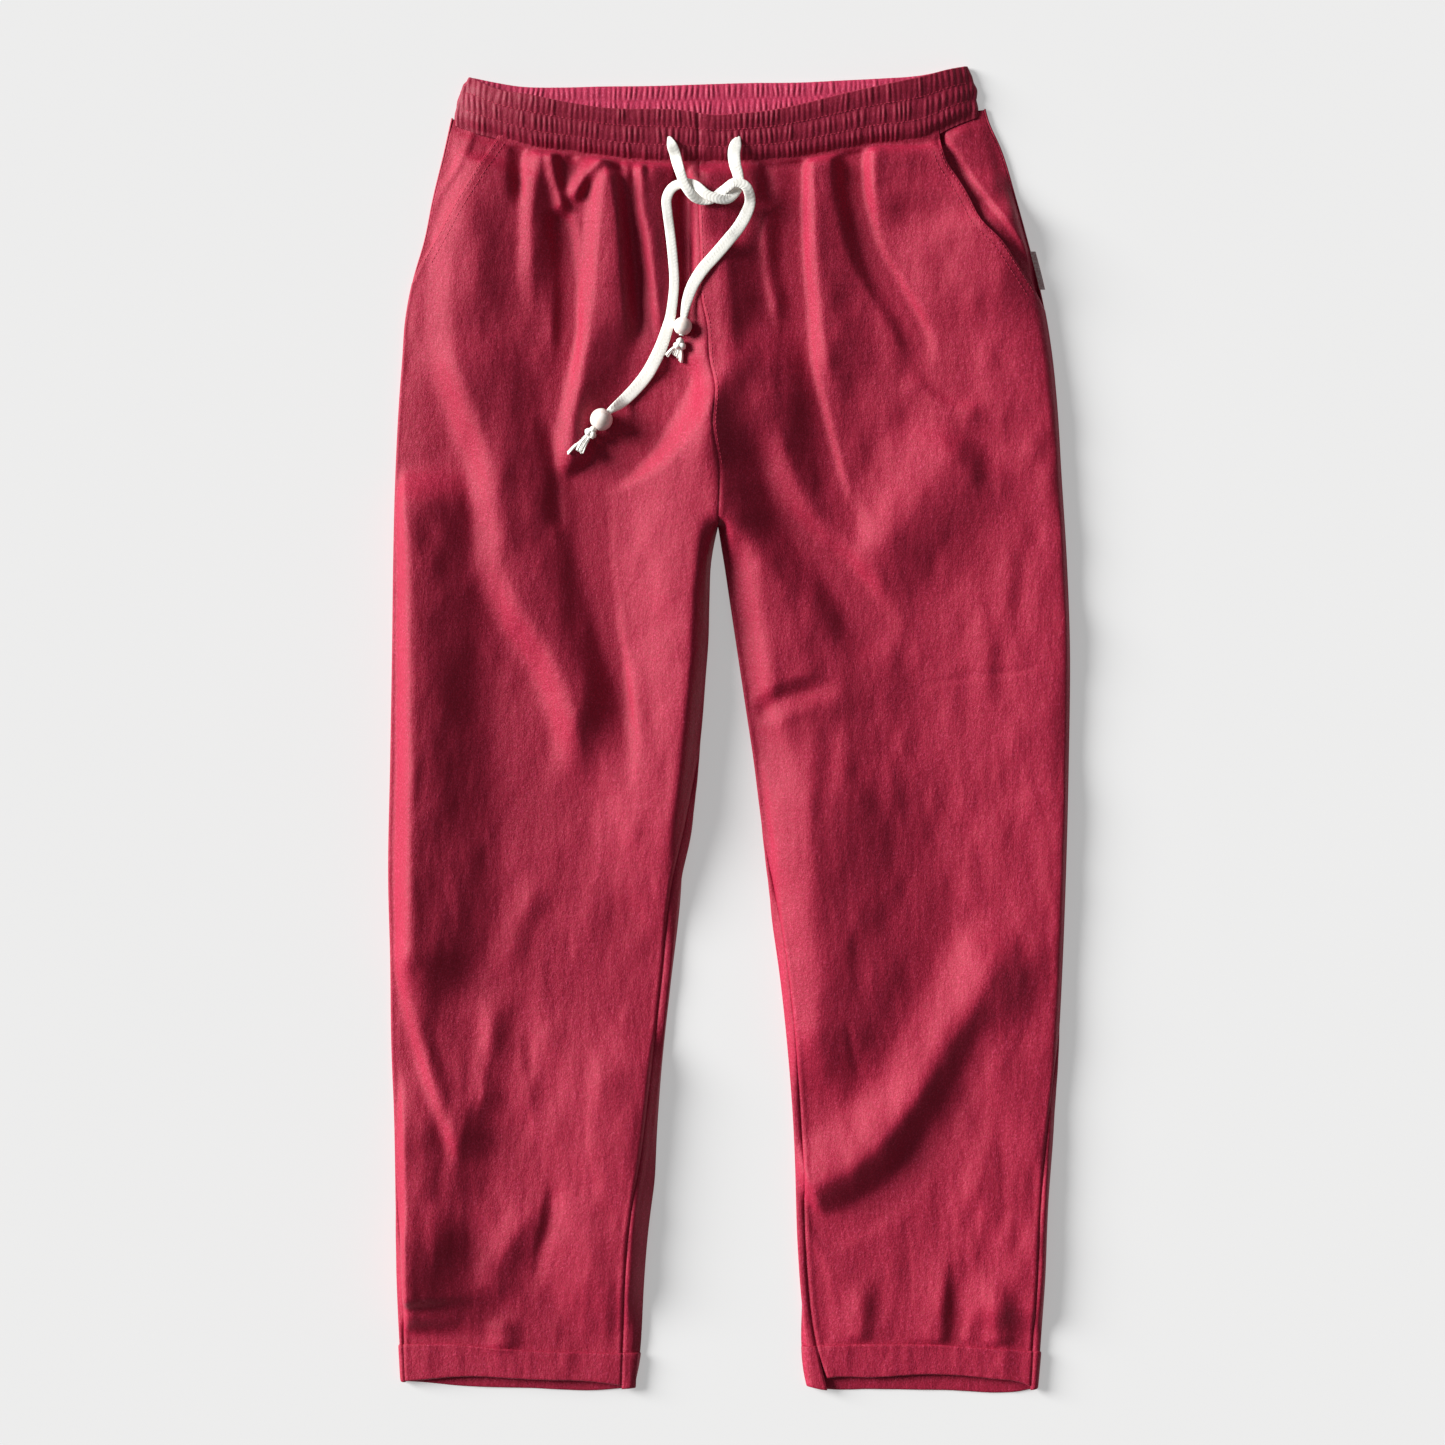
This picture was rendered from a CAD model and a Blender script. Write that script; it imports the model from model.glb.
"""The look of the summer trousers, laid flat with the front up.

Each piece of cloth is a fine shell on the form of its solid: a ring of cloth, flat
underneath, round at the silhouette and lens shaped on top, with the folds of the laid
cloth added.  Outlines and folds are short tables on a drafting grid, x to the right and
y toward the hems, and one grid step is 0.75 mm.
"""
import math

import bmesh
import bpy
import numpy as np
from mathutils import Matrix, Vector
from mathutils.bvhtree import BVHTree


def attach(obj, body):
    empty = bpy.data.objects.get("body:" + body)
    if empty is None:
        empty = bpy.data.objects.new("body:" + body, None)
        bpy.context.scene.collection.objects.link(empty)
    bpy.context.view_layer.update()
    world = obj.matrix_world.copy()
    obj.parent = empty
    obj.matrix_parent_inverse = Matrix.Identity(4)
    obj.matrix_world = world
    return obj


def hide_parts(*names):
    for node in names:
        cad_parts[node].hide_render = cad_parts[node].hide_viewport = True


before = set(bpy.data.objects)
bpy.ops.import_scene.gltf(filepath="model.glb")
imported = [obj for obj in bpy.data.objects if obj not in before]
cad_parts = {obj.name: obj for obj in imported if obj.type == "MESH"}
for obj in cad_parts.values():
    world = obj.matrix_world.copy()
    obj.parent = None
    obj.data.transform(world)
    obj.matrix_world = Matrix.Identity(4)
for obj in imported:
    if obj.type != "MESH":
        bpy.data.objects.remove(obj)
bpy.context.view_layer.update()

# Drafting grid and the sizes that all the cloth shares, in millimetres
GRID = 0.75
MIDDLE_X = 729.109
MIDDLE_Y = 729.67
EDGE_RADIUS = 2.2
WALL = 1.2
QUARTER = math.pi / 2


def smooth(t):
    """Zero to one with level ends."""
    t = np.clip(t, 0.0, 1.0)
    return t * t * (3.0 - 2.0 * t)


def bump(distance, width):
    """A soft bump of height one, a few widths across."""
    return np.exp(-(distance / width) ** 2)


def along(table, at):
    """A smooth curve through the rows of a two column table."""
    knots = np.array(table, float)
    k = knots[:, 0]
    v = knots[:, 1]
    slope = np.gradient(v, k) if len(k) > 2 else np.full(2, (v[1] - v[0]) / (k[1] - k[0]))
    at = np.asarray(at, float)
    i = np.clip(np.searchsorted(k, at) - 1, 0, len(k) - 2)
    step = k[i + 1] - k[i]
    t = np.clip((at - k[i]) / step, 0.0, 1.0)
    a = 2 * t ** 3 - 3 * t ** 2 + 1
    b = t ** 3 - 2 * t ** 2 + t
    c = 3 * t ** 2 - 2 * t ** 3
    d = t ** 3 - t ** 2
    return a * v[i] + b * step * slope[i] + c * v[i + 1] + d * step * slope[i + 1]


def curve(points, pieces):
    """Points on a smooth path through the given ones."""
    p = np.array(points, float)
    p = np.vstack([2 * p[0] - p[1], p, 2 * p[-1] - p[-2]])
    t = np.arange(pieces)[:, None] / pieces
    out = []
    for i in range(1, len(p) - 2):
        a = p[i - 1]
        b = p[i]
        c = p[i + 1]
        d = p[i + 2]
        linear = (c - a) * t
        square = (2 * a - 5 * b + 4 * c - d) * t ** 2
        cube = (3 * b - a - 3 * c + d) * t ** 3
        out.append(0.5 * (2 * b + linear + square + cube))
    out.append(p[-2:-1])
    return np.vstack(out)


def noise(x, y, wide, tall, seed):
    """Smooth noise between -1 and 1 from a seeded lattice of cells wide by tall."""
    size = 256
    lattice = np.random.default_rng(seed).random((size, size)) * 2.0 - 1.0
    u = np.asarray(x) / wide + 11.3
    v = np.asarray(y) / tall + 7.7
    i = np.floor(u).astype(int)
    j = np.floor(v).astype(int)
    s = smooth(u - i)
    t = smooth(v - j)
    i = i % size
    j = j % size
    ii = (i + 1) % size
    jj = (j + 1) % size
    top = lattice[i, j] * (1 - s) + lattice[ii, j] * s
    low = lattice[i, jj] * (1 - s) + lattice[ii, jj] * s
    return top * (1 - t) + low * t


# Camera straight above the garment, with the photograph's frame of 1.084 m at the floor
camera_data = bpy.data.cameras.new("camera")
camera_data.lens = 85.0
camera_data.sensor_width = 36.0
camera_data.clip_end = 50.0
camera = bpy.data.objects.new("camera", camera_data)
camera.location = (-0.00496, 0.00538, 2.559)
bpy.context.scene.collection.objects.link(camera)
bpy.context.scene.camera = camera
bpy.context.scene.view_settings.view_transform = "Standard"

# Outlines of the garment: y, x of the silhouette and of the seams
SIDE_LEFT = [(118, 451), (150, 444), (200, 432), (240, 424), (280, 412.5), (320, 405),
             (360, 402), (400, 399), (480, 395), (560, 393), (640, 392), (760, 390),
             (880, 388), (960, 390), (1040, 391), (1120, 394), (1200, 396), (1280, 397),
             (1345, 400), (1392, 403)]
SIDE_RIGHT = [(100, 984), (120, 989), (150, 1002), (200, 1017), (240, 1028), (280, 1038.5),
              (320, 1047), (360, 1053), (400, 1057), (480, 1062), (560, 1067), (640, 1070),
              (760, 1069), (880, 1066), (960, 1063), (1040, 1059), (1120, 1054),
              (1200, 1050), (1280, 1047), (1345, 1041), (1392, 1036)]
INNER_LEFT = [(530, 717.8), (545, 714.5), (560, 712), (600, 710), (640, 709), (680, 706),
              (720, 703), (760, 699), (800, 695), (840, 691), (880, 686), (960, 677),
              (1040, 668), (1120, 660), (1200, 653), (1280, 646), (1345, 641), (1392, 635)]
INNER_RIGHT = [(530, 718.2), (545, 720.5), (560, 723), (600, 729), (640, 735), (680, 741),
               (720, 747), (760, 753), (800, 758), (880, 768), (960, 775), (1040, 783),
               (1120, 789), (1200, 793), (1280, 797), (1345, 801), (1392, 808)]
BAND_LEFT = [(60, 473), (78, 470), (93, 461), (100, 459), (115, 456), (128, 455)]
BAND_RIGHT = [(60, 965), (67, 967), (75, 970), (85, 974), (100, 976), (118, 978)]
FRONT_SEAM = [(140, 701), (200, 698), (250, 700), (298, 701), (326, 707), (364, 710),
              (390, 715), (428, 713), (466, 719), (530, 718)]
BACK_SEAM = [(110, 712), (530, 718)]
POCKET_LEFT = [(120, 509), (141, 496), (174, 475), (206, 455), (236, 438), (264, 421),
               (284, 411.5)]
POCKET_RIGHT = [(120, 938), (148, 941), (163, 946), (180, 957), (200, 968), (225, 981),
                (243, 999), (270, 1018), (296, 1036), (310, 1045)]
FACING_RIGHT = [(120, 938), (140, 950), (180, 975), (235, 1015), (258, 1030), (300, 1046)]
WRAP_SIDE_LEFT = [(1080, 0), (1200, 2), (1265, 4.5), (1392, 4)]
WRAP_SIDE_RIGHT = [(1020, 0), (1120, 6), (1211, 9), (1292, 9), (1392, 6)]
WRAP_INNER_LEFT = [(740, 0), (820, 6), (883, 11), (985, 11), (1088, 11), (1161, 13),
                   (1200, 16), (1290, 16.5), (1352, 14), (1392, 11)]
WRAP_INNER_RIGHT = [(820, 0), (880, 4), (956, 9), (1044, 10), (1161, 10), (1246, 9),
                    (1303, 10), (1347, 13), (1392, 17)]
# Edges across the garment: x, y
WAIST_FRONT = [(440, 118), (457, 125), (475, 132), (500, 139), (530, 149), (560, 153),
               (600, 158), (640, 163), (700, 164), (790, 161), (840, 153), (870, 147),
               (925, 140), (950, 127), (978, 116), (995, 110)]
WAIST_BACK = [(440, 118), (454, 123.6), (706, 135), (721, 135), (983, 114.2), (995, 110)]
BAND_TOP_FRONT = [(460, 77), (470, 78), (480, 83), (500, 92), (530, 98), (560, 104.5),
                  (600, 111), (690, 115), (710, 118.5), (740, 117), (770, 114), (800, 108),
                  (840, 98), (880, 89), (920, 80), (950, 71), (967, 67), (975, 66)]
BAND_TOP_BACK = [(460, 77), (470, 78), (490, 82), (520, 87), (560, 88), (600, 87),
                 (650, 86.5), (700, 85), (750, 83.5), (800, 83), (840, 81), (880, 79),
                 (920, 76), (950, 70), (967, 67), (975, 66)]
CUFF_TOP = [(385, 1344), (456, 1343), (510, 1348), (597, 1351.5), (645, 1352),
            (720, 1348), (800, 1345), (852, 1343.5), (921, 1343.5), (990, 1347),
            (1050, 1351.5)]
CUFF_TOP_BACK = [(385, 1344), (405, 1344.1), (636, 1352), (645, 1352), (720, 1348),
                 (795, 1345), (806, 1345), (1036, 1350.3), (1050, 1351.5)]
HEM_FRONT = [(385, 1381), (404, 1380), (467, 1375), (532, 1378), (600, 1381), (634, 1386),
             (720, 1386), (806, 1385), (820, 1379), (875, 1376), (932, 1373), (990, 1377),
             (1020, 1381), (1036, 1387), (1050, 1388)]
HEM_BACK = [(385, 1381), (404, 1381), (467, 1386), (532, 1388), (597, 1390), (634, 1387),
            (720, 1386), (806, 1385), (820, 1388), (875, 1389), (944, 1390), (1020, 1391),
            (1036, 1388), (1050, 1388)]
LENS = [(70, 7), (200, 6), (400, 3), (560, 2), (900, 2), (1200, 2), (1392, 2)]

# Folds: name, path, reach left and right of it, height in millimetres, tapers at its ends.
# Left is the left hand of the picture as the path runs down.  The first table has the broad
# folds, the second the gathers below the waistband and the crisper creases.
FOLDS = [
    ("thigh_edge", [(402, 462), (409, 560), (411, 700), (411, 860), (410, 1005)],
     17, 94, 20, 50, 80),
    ("hip_band", [(446, 330), (462, 375), (478, 420), (492, 465), (500, 510), (505, 560),
                  (520, 605), (550, 650), (570, 700), (582, 750), (598, 815)],
     30, 84, 15, 80, 120),
    ("along_seam", [(705, 166), (703, 250), (704, 340), (706, 400), (709, 470)],
     16, 40, 8, 6, 70),
    ("crotch_rise", [(699, 320), (703, 366), (706, 430), (708, 500), (708, 570)],
     98, 170, 20, 90, 60),
    ("thigh_inner", [(700, 510), (699, 560), (695, 620), (691, 680), (685, 740), (678, 800),
                     (671, 860), (663, 920), (654, 980)], 86, 16, 19, 60, 200),
    ("thigh_trough", [(590, 458), (602, 500), (604, 560), (611, 620), (623, 680),
                      (629, 740), (629, 810)], 46, 10, -9, 14, 110),
    ("shin_thin", [(400, 935), (407, 975), (419, 1030), (433, 1075), (450, 1120),
                   (464, 1165)], 11, 60, 8, 30, 40),
    ("shin_edge", [(402, 1050), (402, 1200), (404, 1335)], 10, 96, 14, 90, 20),
    ("shin_seam", [(655, 1000), (646, 1100), (637, 1200), (630, 1345)],
     130, 10, 12, 80, 80),
    ("centre_fold", [(724, 225), (728, 290), (734, 350), (748, 400)], 26, 36, 7, 30, 40),
    ("belly_edge", [(836, 545), (872, 546), (905, 520), (932, 478), (975, 432)],
     80, 60, 12, 60, 40),
    ("swath", [(745, 415), (762, 468), (780, 512), (805, 544), (835, 570), (862, 604),
               (882, 665)], 46, 28, -12, 60, 60),
    ("thigh_front", [(752, 520), (760, 590), (768, 640), (778, 700), (800, 790)],
     30, 150, 12, 50, 90),
    ("hip_edge", [(1008, 190), (1024, 240), (1039, 300), (1049, 360), (1055, 420),
                  (1061, 500), (1067, 600), (1068, 720), (1065, 850), (1061, 960),
                  (1056, 1050), (1051, 1150), (1046, 1250), (1041, 1335)],
     130, 6, 8, 30, 30),
    ("knee_strip", [(802, 715), (806, 760), (809, 820), (812, 900), (816, 970), (820, 1040),
                    (826, 1110)], 60, 136, 19, 90, 90),
    ("calf_ridge", [(1012, 912), (990, 962), (970, 1006), (946, 1050), (916, 1098),
                    (880, 1140), (846, 1166), (802, 1186)], 52, 60, 14, 70, 6),
    ("calf_trough", [(1003, 985), (966, 1060), (912, 1150), (872, 1196), (810, 1226)],
     34, 34, -7, 60, 6),
    ("calf_inner", [(808, 1240), (818, 1290), (822, 1348)], 14, 12, -7, 30, 12),
    ("hip_corner", [(484, 155), (464, 220), (454, 290), (456, 350), (470, 410)],
     30, 90, 8, 10, 60),
    ("hip_light", [(985, 165), (992, 250), (985, 340)], 110, 60, 6, 30, 60),
]
CREASES = [
    ("pinch_a", [(522, 145), (520, 168), (522, 215)], 14, 6, -5, 3, 30),
    ("pinch_b", [(572, 152), (574, 168)], 8, 6, -4, 3, 10),
    ("pinch_c", [(618, 155), (622, 180), (630, 230), (638, 300), (642, 350)],
     12, 7, -5, 4, 50),
    ("pinch_d", [(647, 161), (648, 186)], 5, 5, -3, 4, 16),
    ("pinch_e", [(685, 164), (686, 230), (686, 330)], 12, 8, -7, 6, 40),
    ("pinch_f", [(764, 162), (768, 215)], 6, 12, -3, 4, 30),
    ("pinch_g", [(797, 159), (798, 225)], 8, 5, -3, 4, 60),
    ("pinch_h", [(858, 149), (860, 200), (862, 235)], 10, 5, -4, 4, 30),
    ("pinch_i", [(937, 137), (941, 152)], 7, 7, -4, 3, 10),
    ("line_a", [(905, 690), (960, 678), (1010, 672), (1050, 664)], 5, 5, -0.8, 30, 30),
    ("line_b", [(845, 1015), (860, 1085)], 6, 6, -0.8, 20, 20),
    ("line_c", [(560, 700), (640, 720)], 5, 5, -0.6, 20, 20),
    ("small_a", [(528, 1025), (532, 1085)], 9, 9, -2, 20, 24),
    ("small_b", [(556, 1180), (545, 1235), (532, 1290)], 9, 14, -2, 20, 24),
    ("gather_a", [(542, 150), (538, 175), (533, 220), (532, 280), (534, 340)],
     15, 22, 6, 3, 110),
    ("arm_a", [(552, 152), (557, 185), (566, 222)], 10, 9, 6, 3, 16),
    ("arm_b", [(604, 158), (586, 180), (570, 206)], 14, 10, 7, 3, 14),
    ("wedge", [(557, 208), (567, 245), (570, 320), (566, 400)], 18, 14, -8, 16, 70),
    ("gather_long", [(610, 158), (606, 180), (602, 220), (598, 260), (595, 300), (590, 340),
                     (580, 390), (572, 440), (573, 490)], 18, 44, 9, 5, 40),
    ("gather_shelf", [(618, 170), (620, 230), (622, 300), (628, 360)], 30, 16, 6, 10, 50),
    ("gather_narrow", [(643, 162), (643, 200), (651, 250), (657, 300), (664, 350)],
     10, 34, 8, 3, 40),
    ("gather_faint", [(764, 205), (768, 270), (782, 335)], 8, 18, 3, 20, 30),
    ("gather_valley", [(799, 158), (800, 230), (803, 300), (808, 350), (818, 400),
                       (836, 470), (850, 515)], 44, 7, -6.5, 5, 60),
    ("gather_right", [(813, 152), (814, 230), (819, 300), (825, 350), (836, 400)],
     11, 50, 7, 3, 60),
    ("gather_dark", [(853, 150), (857, 200), (870, 250), (890, 285), (912, 322), (930, 370)],
     24, 14, -10, 5, 50),
    ("gather_second", [(874, 146), (874, 190), (882, 235)], 9, 70, 6, 3, 40),
    ("hip_arc", [(908, 372), (930, 400), (955, 412), (988, 410)], 26, 12, 3, 20, 20),
    ("knee_crease", [(757, 722), (770, 706), (790, 695), (815, 690), (838, 698)],
     20, 16, -5, 14, 34),
    ("knee_mark", [(992, 590), (994, 650)], 16, 16, -1.2, 20, 16),
    ("shin_curl", [(546, 870), (528, 905), (512, 945), (508, 985)], 26, 20, 3.4, 40, 40),
    ("shin_short", [(494, 985), (490, 1050), (480, 1120)], 18, 26, 4, 30, 30),
    ("shin_block", [(401, 1195), (402, 1250), (404, 1307)], 8, 84, 11, 50, 12),
    ("shin_slant", [(545, 1195), (512, 1238), (498, 1272), (500, 1310)], 50, 28, 6, 40, 30),
    ("shin_puff", [(502, 1312), (506, 1352)], 26, 22, 4, 14, 12),
    ("cuff_fold_a", [(866, 1262), (862, 1305), (858, 1345)], 24, 16, 3.6, 50, 12),
    ("cuff_fold_b", [(950, 1235), (940, 1300), (938, 1348)], 40, 16, 4.6, 70, 12),
    ("cuff_fold_c", [(974, 1295), (967, 1346)], 12, 12, 2.6, 30, 12),
    ("cuff_fold_d", [(990, 1262), (1000, 1348)], 26, 22, 4.2, 50, 12),
    ("dark_curve", [(546, 410), (555, 470), (562, 535)], 14, 10, -3, 30, 20),
    ("thigh_hollow", [(700, 348), (690, 385), (672, 415), (650, 442), (612, 462), (584, 470)],
     80, 30, -15, 40, 26),
    ("mottle_a", [(588, 690), (560, 770), (548, 830)], 20, 26, 1.8, 30, 40),
    ("mottle_b", [(600, 860), (586, 930), (560, 1000)], 24, 30, 2, 40, 50),
    ("mottle_c", [(612, 1040), (598, 1110), (590, 1190)], 20, 28, 1.8, 40, 50),
    ("mottle_d", [(552, 1010), (540, 1070), (520, 1130)], 18, 22, 1.8, 30, 40),
    ("mottle_e", [(430, 1010), (450, 1090), (440, 1160)], 16, 20, -2, 30, 40),
    ("mottle_f", [(1000, 560), (985, 640), (990, 720)], 24, 24, 1.6, 40, 40),
    ("mottle_g", [(790, 600), (800, 650), (815, 690)], 22, 22, 1.6, 30, 30),
    ("mottle_i", [(1000, 1090), (985, 1160), (960, 1230)], 22, 26, 1.8, 40, 40),
    ("mottle_j", [(905, 240), (930, 290), (925, 350)], 22, 30, 1.6, 30, 40),
    ("mottle_k", [(470, 205), (480, 260), (476, 320)], 18, 26, 1.6, 30, 40),
]


def paint(folds, x, y):
    """Sum of the folds on a raster, each a soft ridge along its path."""
    total = np.zeros(x.size)
    px = x.ravel()
    py = y.ravel()
    for _name, path, left, right, height, start, end in folds:
        line = curve(path, 4)
        low = line.min(axis=0) - max(left, right)
        high = line.max(axis=0) + max(left, right)
        near = (px > low[0]) & (px < high[0]) & (py > low[1]) & (py < high[1])
        pick = np.nonzero(near)[0]
        gx = px[pick]
        gy = py[pick]
        part = np.diff(line, axis=0)
        length = np.hypot(part[:, 0], part[:, 1])
        passed = np.concatenate([[0.0], np.cumsum(length)])
        nearest = np.full(gx.shape, 1e9)
        hand = np.zeros(gx.shape)
        where = np.zeros(gx.shape)
        for a, step, size, before in zip(line[:-1], part, length, passed):
            ex = gx - a[0]
            ey = gy - a[1]
            t = np.clip((ex * step[0] + ey * step[1]) / (size * size), 0.0, 1.0)
            ex = ex - t * step[0]
            ey = ey - t * step[1]
            away = np.hypot(ex, ey)
            closer = away < nearest
            nearest = np.where(closer, away, nearest)
            hand = np.where(closer, step[0] * ey - step[1] * ex, hand)
            where = np.where(closer, before + t * size, where)
        off = np.clip(nearest / np.where(hand > 0, left, right), 0.0, 1.0)
        shape = 0.5 * (1.0 - off) + 0.25 * (1.0 + np.cos(math.pi * off))
        taper = smooth(where / start) * smooth((passed[-1] - where) / end)
        total[pick] = total[pick] + height * shape * taper
    return total.reshape(x.shape)


def blur(grid, width):
    """The raster softened by a bell of the given width in raster steps."""
    reach = int(3 * width) + 1
    bell = np.exp(-0.5 * (np.arange(-reach, reach + 1) / width) ** 2)
    bell = bell / bell.sum()
    for axis in (0, 1):
        grid = np.apply_along_axis(lambda v: np.convolve(np.pad(v, reach, "edge"), bell,
                                                         "valid"), axis, grid)
    return grid


RASTER = 1.5
RASTER_X = np.arange(376.0, 1084.0, RASTER)
RASTER_Y = np.arange(60.0, 1400.0, RASTER)
raster_gx, raster_gy = np.meshgrid(RASTER_X, RASTER_Y)
FOLD_MAP = blur(paint(FOLDS, raster_gx, raster_gy), 2.6)
FOLD_MAP = FOLD_MAP + blur(paint(CREASES, raster_gx, raster_gy), 1.1)


def creases(gx, gy):
    """Small irregular puckers and crinkles of washed linen, in millimetres."""
    x = (gx + 6.0 * noise(gx, gy, 60, 90, 5)) * GRID
    y = gy * GRID
    soft = 1.2 * noise(x, y, 28, 42, 1) + 0.8 * noise(x, y, 12, 22, 2)
    leg = smooth((gy - 620.0) / 200.0)
    fine = (0.16 + 0.16 * leg) * noise(x, y, 5.5, 26, 3) + 0.10 * noise(x, y, 3.2, 12, 4)
    hip = smooth((620.0 - gy) / 160.0)
    cross = 0.16 * hip * noise(x, y, 30, 3.6, 6)
    patch = 0.6 + 0.4 * noise(x, y, 70, 90, 8)
    return soft + (fine + cross) * patch


FOLD_MAP = FOLD_MAP + creases(raster_gx, raster_gy)


def fold_height(gx, gy):
    """Height of folds and creases at grid points, read from the raster."""
    u = np.clip((gx - RASTER_X[0]) / RASTER, 0.0, len(RASTER_X) - 1.001)
    v = np.clip((gy - RASTER_Y[0]) / RASTER, 0.0, len(RASTER_Y) - 1.001)
    i = u.astype(int)
    j = v.astype(int)
    s = u - i
    t = v - j
    top = FOLD_MAP[j, i] * (1 - s) + FOLD_MAP[j, i + 1] * s
    low = FOLD_MAP[j + 1, i] * (1 - s) + FOLD_MAP[j + 1, i + 1] * s
    return top * (1 - t) + low * t


def across(front, back, layer, gx):
    """An edge across the garment: smooth on the front, straight stretches on the back."""
    if layer > 0:
        return along(front, gx)
    table = np.array(back, float)
    return np.interp(gx, table[:, 0], table[:, 1])


def leg_y(layer, row, gx):
    """Grid y of a panel row: level below the hip, on the waist and cuff edges at the ends."""
    waist = across(WAIST_FRONT, WAIST_BACK, layer, gx)
    top = (waist - 150.0) * (1.0 - smooth((row - 150.0) / 330.0))
    cuff = across(CUFF_TOP, CUFF_TOP_BACK, layer, gx)
    low = (cuff - 1345.0) * smooth((row - 1250.0) / 95.0)
    return row + top + low


def band_y(layer, row, gx):
    """Grid y on the waistband, from row 0 at its lower edge to row 1 at its top edge."""
    low = across(WAIST_FRONT, WAIST_BACK, layer, gx)
    high = along(BAND_TOP_FRONT if layer > 0 else BAND_TOP_BACK, gx)
    return low + (high - low) * row


def cuff_y(layer, row, gx):
    """Grid y on a cuff, from row 0 at its top edge to row 1 at the hem."""
    low = across(CUFF_TOP, CUFF_TOP_BACK, layer, gx)
    high = along(HEM_FRONT if layer > 0 else HEM_BACK, gx)
    return low + (high - low) * row


def edge_of(table, rows, layer, y_of):
    """Where rows meet an outline given as y, x: both depend on each other, so iterate."""
    gx = along(table, rows * 1.0)
    for _ in range(6):
        gy = y_of(layer, rows, gx)
        gx = along(table, gy)
    return gx


def relief(layer, gx, gy, reach_left, reach_right):
    """Height above the folded edges: a low lens with the folds on it, never below zero."""
    lens = along(LENS, gy)
    lens = lens * (1.0 - np.exp(-np.clip(reach_left - EDGE_RADIUS, 0, None) / 8.0))
    lens = lens * (1.0 - np.exp(-np.clip(reach_right - EDGE_RADIUS, 0, None) / 8.0))
    below = gy - along(WAIST_FRONT, gx)
    folds = fold_height(gx, gy) * smooth(np.minimum(reach_left / 9.0, reach_right / 4.0))
    folds = folds * smooth(below / 6.0)
    if layer > 0:
        folds = folds - 3.2 * np.exp(-(below / 8.0) ** 2)
    more = lens + folds
    none = math.log1p(math.exp(-1.0)) / 0.8
    return np.log1p(np.exp((more - 1.25) * 0.8)) / 0.8 - none


class Ring:
    """A ring of cloth between two outlines, as a surface of row and arc length.

    layer is 1 for the top half and -1 for the underside.  The arc starts at the left
    outline.  A closed side is a rounded edge and an open one is a seam on the flat.
    """

    def __init__(self, layer, left, right, closed, y_of, radius=EDGE_RADIUS):
        self.layer = layer
        self.left = left
        self.right = right
        self.closed = closed
        self.y_of = y_of
        self.radius = radius

    def plan(self, arc, closed):
        """Distance in plan from an outline for an arc length."""
        size = np.abs(arc)
        if not closed:
            return arc
        bend = self.radius * (1.0 - np.cos(np.minimum(size / self.radius, QUARTER)))
        return np.where(size < QUARTER * self.radius, bend,
                        size - (QUARTER - 1.0) * self.radius)

    def width(self, rows):
        """Arc length from outline to outline in each row."""
        xl = edge_of(self.left, rows, self.layer, self.y_of)
        xr = edge_of(self.right, rows, self.layer, self.y_of)
        extra = (QUARTER - 1.0) * self.radius
        return (xr - xl) * GRID + extra * self.closed[0] + extra * self.closed[1]

    def point(self, rows, arc):
        """Points in millimetres for a column of rows and a grid of arc lengths."""
        line = rows[:, :1]
        xl = edge_of(self.left, line, self.layer, self.y_of)
        xr = edge_of(self.right, line, self.layer, self.y_of)
        wide = (xr - xl) * GRID
        extra = (QUARTER - 1.0) * self.radius
        whole = wide + extra * self.closed[0] + extra * self.closed[1]
        back = whole - arc
        near_left = arc < 0.5 * whole
        dl = np.where(near_left, self.plan(arc, self.closed[0]),
                      wide - self.plan(back, self.closed[1]))
        dr = wide - dl
        gx = xl + dl / GRID
        gy = self.y_of(self.layer, rows, gx)
        up = np.where(near_left, arc, back) * self.layer
        shut = np.where(near_left, self.closed[0], self.closed[1])
        turn = np.where(shut, np.sin(np.clip(up / self.radius, -QUARTER, QUARTER)),
                        self.layer)
        fork = np.hypot(gx - 718.0, gy - 530.0) * GRID
        reach_left = dl if self.closed[0] else fork
        reach_right = dr if self.closed[1] else fork
        if not (self.closed[0] and self.closed[1]):
            rim = np.clip(fork / self.radius, 0.0, 1.0)
            turn = turn * np.sqrt(np.clip(1.0 - (1.0 - rim) ** 2, 0.0, 1.0))
        more = relief(self.layer, gx, gy, reach_left, reach_right)
        top = np.where(shut, up > 0, self.layer > 0)
        z = self.radius + self.radius * turn + np.where(top, more, 0.0)
        return np.stack([(gx - MIDDLE_X) * GRID, (MIDDLE_Y - gy) * GRID, z], -1)


def normals(points, sign):
    """Unit normals of a grid of points, from the steps between its neighbours."""
    n = np.cross(np.gradient(points, axis=1), np.gradient(points, axis=0)) * sign
    return n / np.maximum(np.linalg.norm(n, axis=-1, keepdims=True), 1e-9)


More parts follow.
